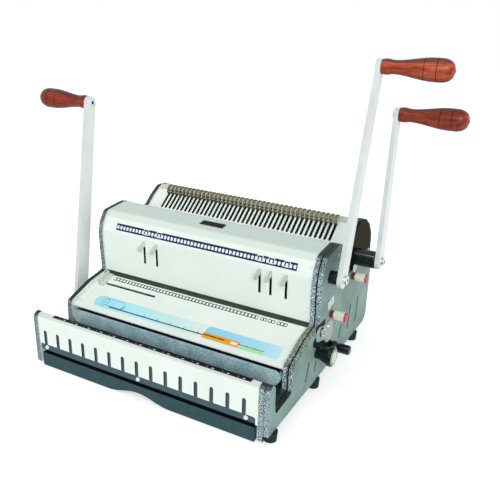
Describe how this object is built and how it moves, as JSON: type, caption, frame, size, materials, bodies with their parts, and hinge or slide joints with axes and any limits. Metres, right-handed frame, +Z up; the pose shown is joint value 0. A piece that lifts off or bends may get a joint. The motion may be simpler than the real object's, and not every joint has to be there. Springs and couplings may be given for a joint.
{
  "type": "coil binding machine",
  "caption": "Desk binding machine with a lever-driven hole punch, a wire closer at the front and a comb opener at the back, between two frame plates.",
  "frame": {"origin": "on the table plane under the middle of the whole machine's footprint box, levers and grips included", "axes": "+X to the user's right along the machine's width, +Y from the user towards the comb opener, +Z up"},
  "size_m": [0.677, 0.3962, 0.4821],
  "materials": {
    "frame_paint": "grey hammertone paint",
    "side_paint": "smooth grey-green paint",
    "dark_paint": "dark brown paint",
    "white_paint": "off-white powder coat",
    "slate_paint": "slate paint",
    "link_paint": "light grey paint",
    "lever_paint": "off-white powder coat",
    "tool_steel": "oiled tool steel",
    "bright_steel": "ground steel",
    "black_steel": "blackened steel",
    "chrome": "polished",
    "bush_brass": "turned",
    "hook_brass": "yellow passivated, dulled",
    "grip_wood": "red-brown lacquer",
    "black_plastic": "gloss black",
    "pale_plastic": "satin",
    "cream_plastic": "satin",
    "foot_rubber": "matte"
  },
  "bodies": {
    "housing": {"base_plate": "frame_paint", "left_frame_plate": "frame_paint", "right_frame_plate": "frame_paint", "left_side_cover": "side_paint", "right_side_cover": "side_paint", "left_comb_cover": "dark_paint", "right_comb_cover": "dark_paint", "front_plate": "white_paint", "wire_holder_bar": "slate_paint", "front_screws": "white_paint", "lower_deck": "white_paint", "upper_cover": "white_paint", "comb_table": "white_paint", "comb_rail": "frame_paint", "rear_cover": "frame_paint", "die_plate": "tool_steel", "guide_plate": "tool_steel", "guide_posts": "bright_steel", "closer_rails": "tool_steel", "shaft_bushes": "bush_brass", "side_screws": "bright_steel", "link_plate": "link_paint", "feet": "foot_rubber"},
    "punch_handle": {"punch_shaft": "bright_steel", "punch_hub": "black_plastic", "punch_lever": "lever_paint", "punch_grip": "grip_wood", "punch_bolt": "chrome"},
    "punch_ram": {"punch_bar": "tool_steel", "punch_pins": "bright_steel"},
    "closer_handle": {"closer_shaft": "bright_steel", "closer_gears": "tool_steel", "closer_hub": "black_plastic", "closer_lever": "lever_paint", "closer_grip": "grip_wood", "closer_bolt": "black_steel"},
    "jaw": {"closer_jaw": "frame_paint", "jaw_racks": "tool_steel"},
    "comb_handle": {"comb_shaft": "bright_steel", "comb_gears": "tool_steel", "comb_hub": "black_plastic", "comb_lever": "lever_paint", "comb_grip": "grip_wood", "comb_bolt": "chrome"},
    "rake": {"comb_rake": "tool_steel", "comb_hooks": "hook_brass"},
    "gap_dial": {"gap_knob": "black_plastic", "gap_knob_cap": "pale_plastic"},
    "release_dial": {"release_knob": "black_plastic"},
    "front_margin_dial": {"front_margin_knob": "cream_plastic"},
    "rear_margin_dial": {"rear_margin_knob": "cream_plastic"},
    "side_guide": {"edge_guide": "chrome"},
    "drawer": {"chip_drawer": "slate_paint", "drawer_front": "slate_paint"},
    "pull_1": {"die_pull_1": "chrome"},
    "pull_2": {"die_pull_2": "chrome"},
    "pull_3": {"die_pull_3": "chrome"},
    "pull_4": {"die_pull_4": "chrome"},
    "pull_5": {"die_pull_5": "chrome"}
  },
  "joints": [
    {"name": "punch_lever_swing", "type": "hinge", "parent": "housing", "child": "punch_handle", "pos_m": [0.2105, -0.007, 0.173], "axis": [1, 0, 0], "range_deg": [0, 100]},
    {"name": "punch_ram_slide", "type": "slide", "parent": "housing", "child": "punch_ram", "axis": [0, 0.3223, -0.9466], "range_m": [0, 0.0069]},
    {"name": "closer_lever_swing", "type": "hinge", "parent": "housing", "child": "closer_handle", "pos_m": [-0.2315, -0.074, 0.034], "axis": [1, 0, 0], "range_deg": [0, 85]},
    {"name": "closer_jaw_slide", "type": "slide", "parent": "housing", "child": "jaw", "axis": [0, -1, 0], "range_m": [0, 0.0357]},
    {"name": "comb_lever_swing", "type": "hinge", "parent": "housing", "child": "comb_handle", "pos_m": [0.2315, 0.107, 0.167], "axis": [1, 0, 0], "range_deg": [0, 75]},
    {"name": "comb_rake_slide", "type": "slide", "parent": "housing", "child": "rake", "axis": [0, -0.7986, -0.6018], "range_m": [0, 0.0217]},
    {"name": "gap_knob_turn", "type": "hinge", "parent": "housing", "child": "gap_dial", "pos_m": [0.2065, -0.042, 0.064], "axis": [1, 0, 0], "range_deg": [0, 270]},
    {"name": "release_knob_turn", "type": "hinge", "parent": "housing", "child": "release_dial", "pos_m": [0.2065, 0.013, 0.049], "axis": [1, 0, 0], "range_deg": [0, 90]},
    {"name": "front_margin_turn", "type": "hinge", "parent": "housing", "child": "front_margin_dial", "pos_m": [0.2065, 0.006, 0.107], "axis": [1, 0, 0], "range_deg": [0, 270]},
    {"name": "rear_margin_turn", "type": "hinge", "parent": "housing", "child": "rear_margin_dial", "pos_m": [0.2065, 0.095, 0.137], "axis": [1, 0, 0], "range_deg": [0, 270]},
    {"name": "edge_guide_slide", "type": "slide", "parent": "housing", "child": "side_guide", "axis": [1, 0, 0], "range_m": [0, 0.101]},
    {"name": "drawer_slide", "type": "slide", "parent": "housing", "child": "drawer", "axis": [0, -1, 0], "range_m": [0, 0.18]},
    {"name": "die_pull_1_slide", "type": "slide", "parent": "housing", "child": "pull_1", "axis": [0, 0.0349, -0.9994], "range_m": [0, 0.031]},
    {"name": "die_pull_2_slide", "type": "slide", "parent": "housing", "child": "pull_2", "axis": [0, 0.0349, -0.9994], "range_m": [0, 0.031]},
    {"name": "die_pull_3_slide", "type": "slide", "parent": "housing", "child": "pull_3", "axis": [0, 0.0349, -0.9994], "range_m": [0, 0.031]},
    {"name": "die_pull_4_slide", "type": "slide", "parent": "housing", "child": "pull_4", "axis": [0, 0.0349, -0.9994], "range_m": [0, 0.031]},
    {"name": "die_pull_5_slide", "type": "slide", "parent": "housing", "child": "pull_5", "axis": [0, 0.0349, -0.9994], "range_m": [0, 0.031]}
  ],
  "couplings": [
    {"joint": "punch_ram_slide", "follows": "punch_lever_swing", "m_per_rad": 0.0039502},
    {"joint": "closer_jaw_slide", "follows": "closer_lever_swing", "m_per_rad": 0.024},
    {"joint": "comb_rake_slide", "follows": "comb_lever_swing", "m_per_rad": 0.0165}
  ]
}
